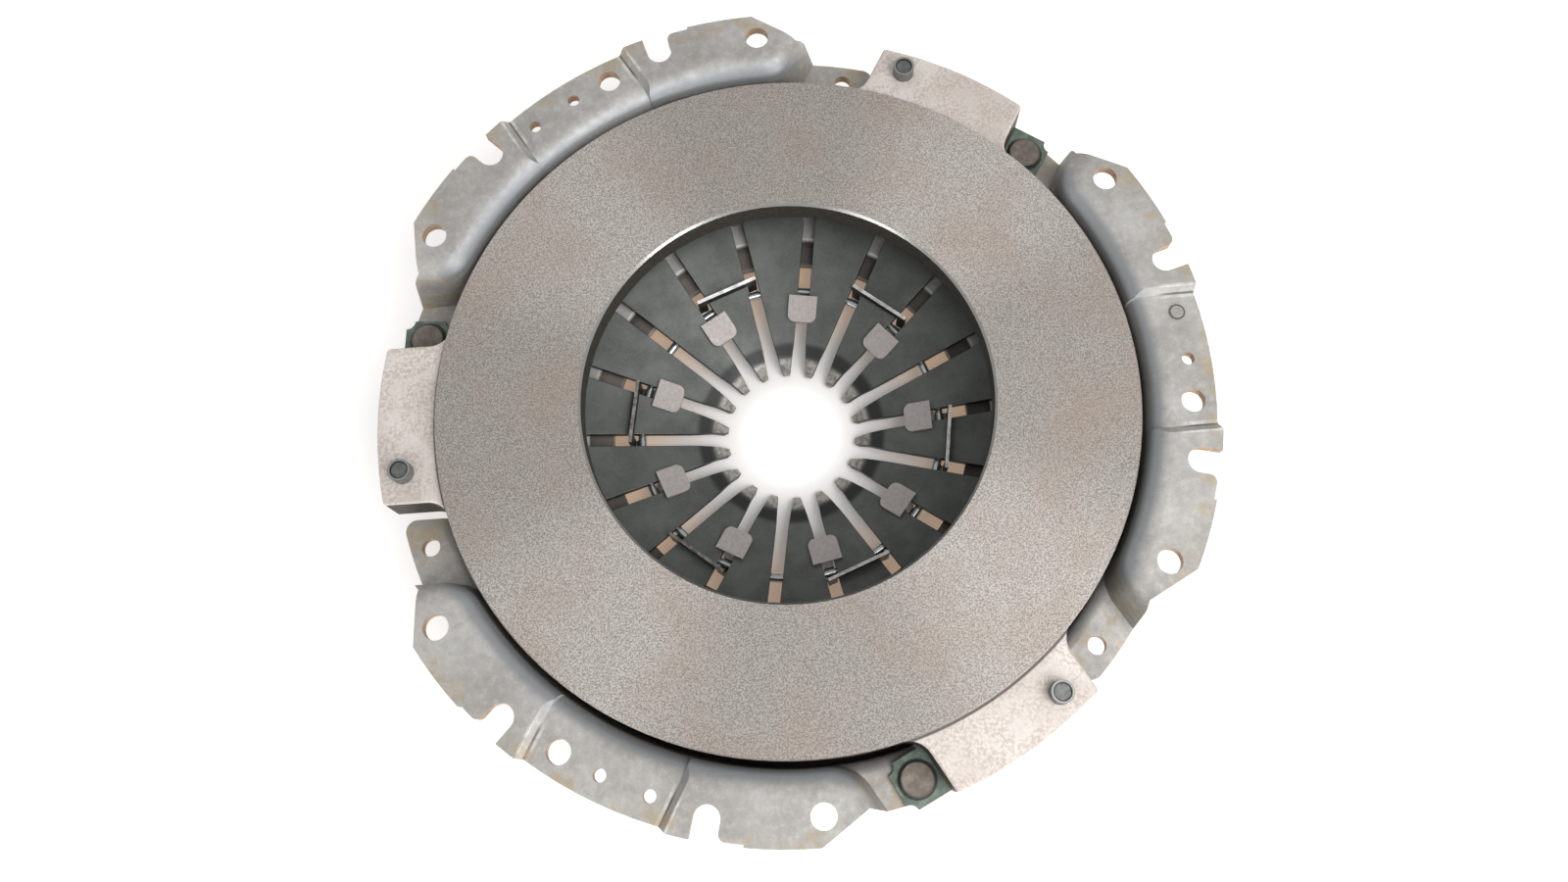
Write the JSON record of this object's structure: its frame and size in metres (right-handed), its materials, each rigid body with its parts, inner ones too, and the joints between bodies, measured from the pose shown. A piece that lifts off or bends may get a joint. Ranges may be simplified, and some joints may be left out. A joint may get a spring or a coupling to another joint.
{
  "type": "clutch pressure plate",
  "caption": "Clutch cover assembly: pressed cover with bolt flange, ground pressure ring on spring straps, and a diaphragm spring with release fingers.",
  "frame": {"origin": "centre of the bolt circle, on the face of the flange that meets the flywheel", "axes": "+Z along the axis of rotation towards the flywheel; +X through the middle of the flange sector with the balance rivet"},
  "size_m": [0.285, 0.2922, 0.0582],
  "materials": {
    "cover_steel": "grey phosphated pressed steel",
    "plate_iron": "ground grey iron",
    "spring_steel": "blasted and oiled dark spring steel",
    "strap_steel": "dark green oxide",
    "ring_steel": "bare steel",
    "tab_steel": "zinc plated",
    "clip_steel": "bright steel strip",
    "rivet_steel": "dark pressed heads",
    "pin_steel": "turned dark steel"
  },
  "bodies": {
    "cover": {"cover": "cover_steel", "balance_rivet": "rivet_steel", "support_ring": "ring_steel", "pivot_wire": "ring_steel", "pivot_rivets": "rivet_steel", "diaphragm_spring": "spring_steel", "strap_rivets": "rivet_steel", "strap_1_leaf_1": "strap_steel", "strap_1_leaf_2": "strap_steel", "strap_1_leaf_3": "strap_steel", "strap_2_leaf_1": "strap_steel", "strap_2_leaf_2": "strap_steel", "strap_2_leaf_3": "strap_steel", "strap_3_leaf_1": "strap_steel", "strap_3_leaf_2": "strap_steel", "strap_3_leaf_3": "strap_steel"},
    "pressure_plate": {"pressure_plate": "plate_iron", "lug_rivets": "pin_steel"},
    "finger_ring": {"finger_ring": "ring_steel", "ring_tab_1": "tab_steel", "ring_tab_2": "tab_steel", "ring_tab_3": "tab_steel", "ring_tab_4": "tab_steel", "ring_tab_5": "tab_steel", "ring_tab_6": "tab_steel", "ring_tab_7": "tab_steel", "ring_tab_8": "tab_steel", "ring_tab_9": "tab_steel", "ring_clip_1": "clip_steel", "ring_clip_2": "clip_steel", "ring_clip_3": "clip_steel", "ring_clip_4": "clip_steel", "ring_clip_5": "clip_steel", "ring_clip_6": "clip_steel"}
  },
  "joints": [
    {"name": "plate_slide", "type": "slide", "parent": "cover", "child": "pressure_plate", "axis": [0, 0, 1], "range_m": [-0.006, 0], "stiffness_N_per_m": 60000, "springref_m": 0.004, "deforming": ["strap_1_leaf_1", "strap_1_leaf_2", "strap_1_leaf_3", "strap_2_leaf_1", "strap_2_leaf_2", "strap_2_leaf_3", "strap_3_leaf_1", "strap_3_leaf_2", "strap_3_leaf_3", "diaphragm_spring"]},
    {"name": "finger_lift", "type": "slide", "parent": "cover", "child": "finger_ring", "axis": [0, 0, 1], "range_m": [0, 0.01261]}
  ],
  "couplings": [
    {"joint": "finger_lift", "follows": "plate_slide", "ratio": -2.0941}
  ]
}
